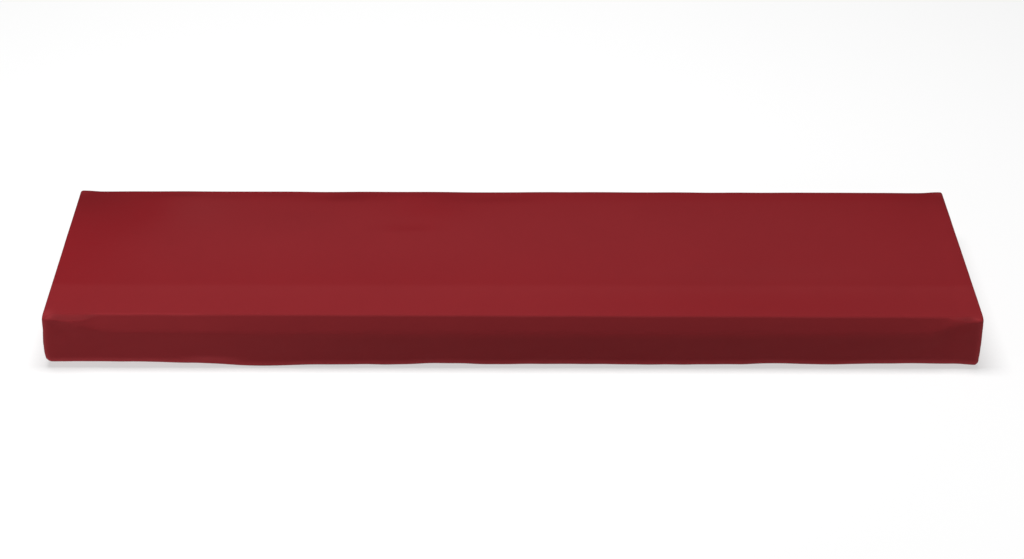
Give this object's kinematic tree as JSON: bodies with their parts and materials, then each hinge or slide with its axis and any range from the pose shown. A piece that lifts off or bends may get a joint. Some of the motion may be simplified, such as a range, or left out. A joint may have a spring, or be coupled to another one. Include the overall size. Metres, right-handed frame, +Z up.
{
  "type": "keyboard dust cover",
  "caption": "Fitted stretch-cloth dust cover for a stage keyboard: a long, shallow, hollow shell with rounded edges, a set-back front fold and a hem that turns in below.",
  "frame": {"origin": "middle of the underside of the top, where the instrument carries the cloth", "axes": "+X along the keys to the player's right, +Y to the back of the instrument, +Z up"},
  "size_m": [1.293, 0.336, 0.0816],
  "materials": {
    "cover_cloth": "matt red stretch knit with a soft sheen"
  },
  "bodies": {
    "root": {"cover": "cover_cloth"}
  },
  "joints": []
}
